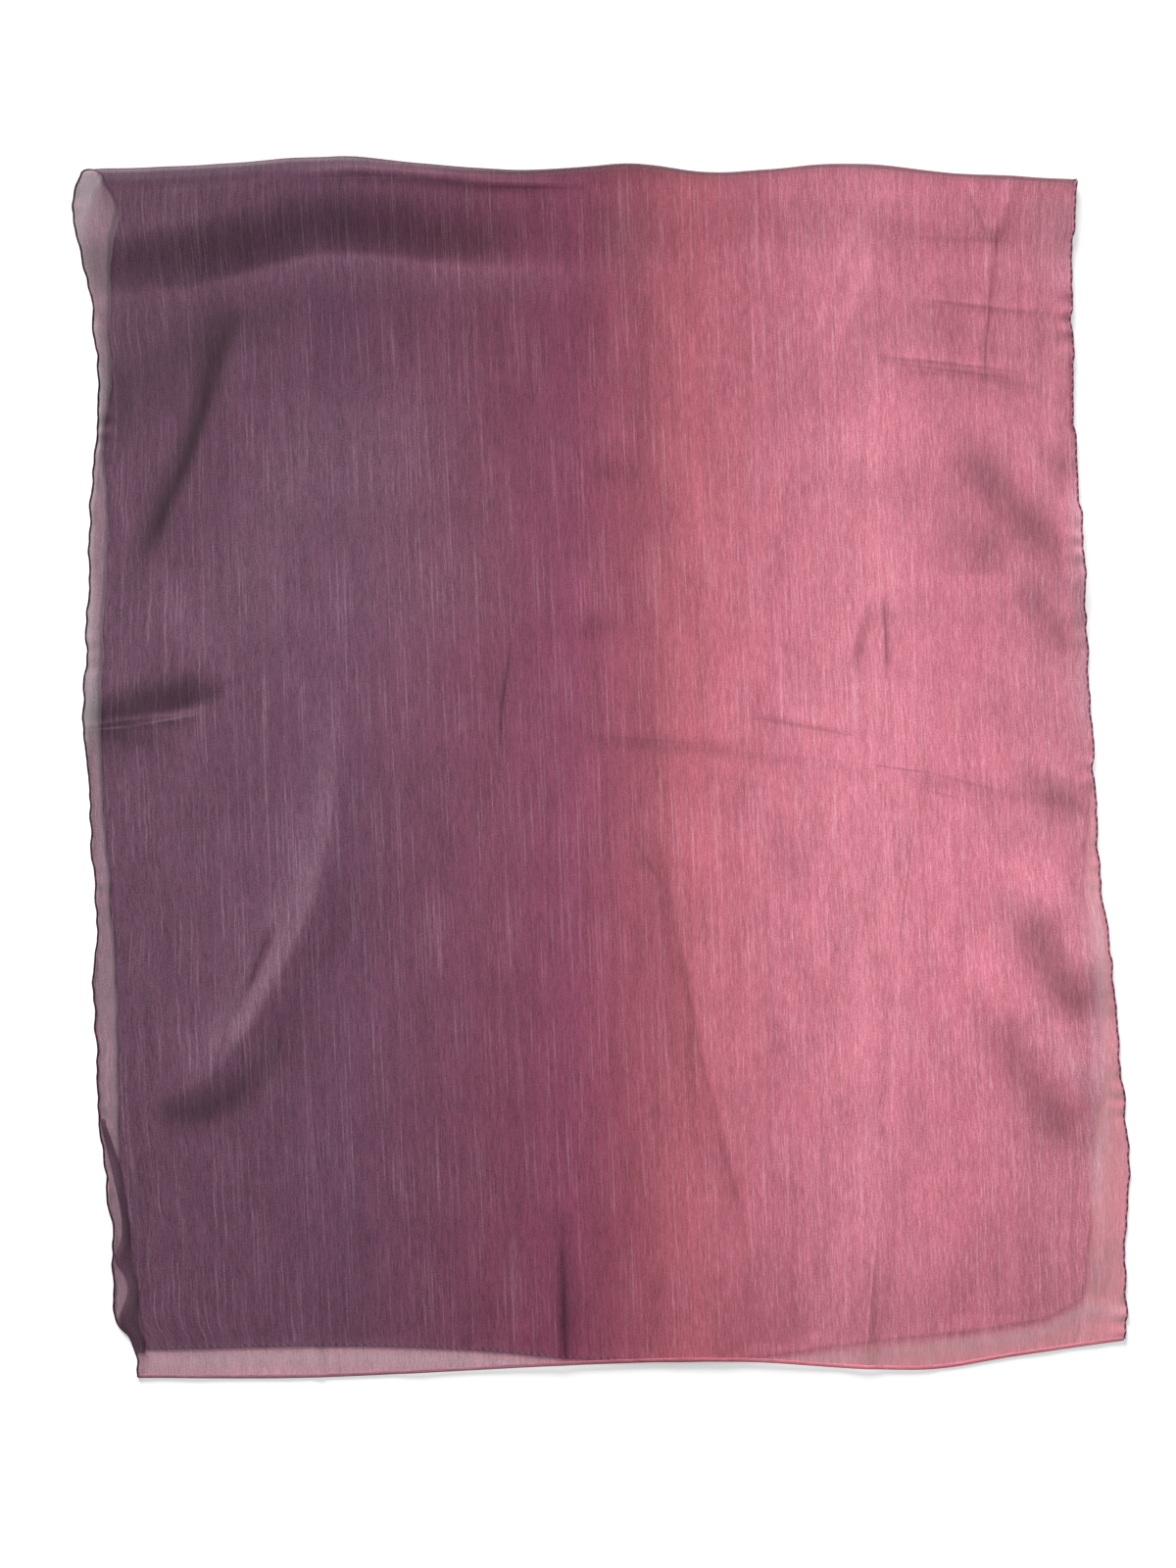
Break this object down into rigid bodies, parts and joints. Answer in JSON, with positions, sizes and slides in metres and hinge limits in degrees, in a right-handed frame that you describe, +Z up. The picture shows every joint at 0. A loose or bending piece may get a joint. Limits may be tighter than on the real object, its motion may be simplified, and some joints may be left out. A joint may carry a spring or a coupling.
{
  "type": "folded hijab shawl",
  "caption": "Sheer satin chiffon hijab shawl, dyed from plum to rose, folded once across its length and laid flat, with narrow rolled hems.",
  "frame": {"origin": "bottom centre of the bounding box, on the surface that the cloth lies on", "axes": "+Y from the short ends towards the fold, the long way of the folded cloth; +X from the plum side to the rose side; +Z up, the thin way"},
  "size_m": [0.786, 0.9101, 0.0116],
  "materials": {
    "satin_chiffon_ombre": "sheer crinkled satin chiffon, dyed from plum to rose",
    "rolled_hem_thread": "dense dark plum overlock thread on a rolled edge",
    "stitched_end_hem": "cloth turned twice and stitched down"
  },
  "bodies": {
    "root": {"upper_layer": "satin_chiffon_ombre", "under_layer": "satin_chiffon_ombre", "fold_bight": "satin_chiffon_ombre", "turned_edge": "satin_chiffon_ombre", "left_rolled_hem": "rolled_hem_thread", "right_rolled_hem": "rolled_hem_thread", "under_end_hem": "stitched_end_hem", "upper_end_hem": "stitched_end_hem"}
  },
  "joints": []
}
